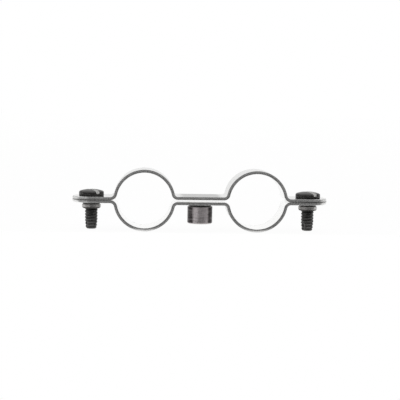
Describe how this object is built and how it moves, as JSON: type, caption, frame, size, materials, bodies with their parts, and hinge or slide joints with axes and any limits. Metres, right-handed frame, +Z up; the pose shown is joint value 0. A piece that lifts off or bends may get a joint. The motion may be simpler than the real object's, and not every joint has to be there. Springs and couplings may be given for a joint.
{
  "type": "double pipe clip",
  "caption": "Two-half steel clip that holds a pair of pipes side by side, drawn together by slotted screws and fixed by a threaded boss.",
  "frame": {"origin": "centre of the boss's open end, where the threaded rod or wall screw enters", "axes": "+X along the row of rings, towards the right screw; +Y along the pipes; +Z up, from the boss towards the screw heads"},
  "size_m": [0.1018, 0.015, 0.0243],
  "materials": {
    "band_steel": "bright zinc-plated strip, smooth, with dull sheared edges",
    "boss_steel": "turned steel with fine lathe marks",
    "screw_steel": "dark passivated steel, slightly oily"
  },
  "bodies": {
    "lower_half": {"lower_band": "band_steel", "boss": "boss_steel"},
    "upper_half": {"upper_band": "band_steel"},
    "left_screw": {"left_screw": "screw_steel"},
    "right_screw": {"right_screw": "screw_steel"}
  },
  "joints": [
    {"name": "upper_half_lift", "type": "slide", "parent": "lower_half", "child": "upper_half", "axis": [0, 0, 1], "range_m": [0, 0.008]},
    {"name": "left_screw_turn", "type": "hinge", "parent": "upper_half", "child": "left_screw", "pos_m": [-0.0434, 0, 0.01065], "axis": [0, 0, 1], "range_deg": [0, 2400]},
    {"name": "right_screw_turn", "type": "hinge", "parent": "upper_half", "child": "right_screw", "pos_m": [0.0434, 0, 0.01065], "axis": [0, 0, 1], "range_deg": [0, 2400]}
  ],
  "couplings": [
    {"joint": "left_screw_turn", "follows": "upper_half_lift", "rad_per_m": 5236},
    {"joint": "right_screw_turn", "follows": "upper_half_lift", "rad_per_m": 5236}
  ]
}
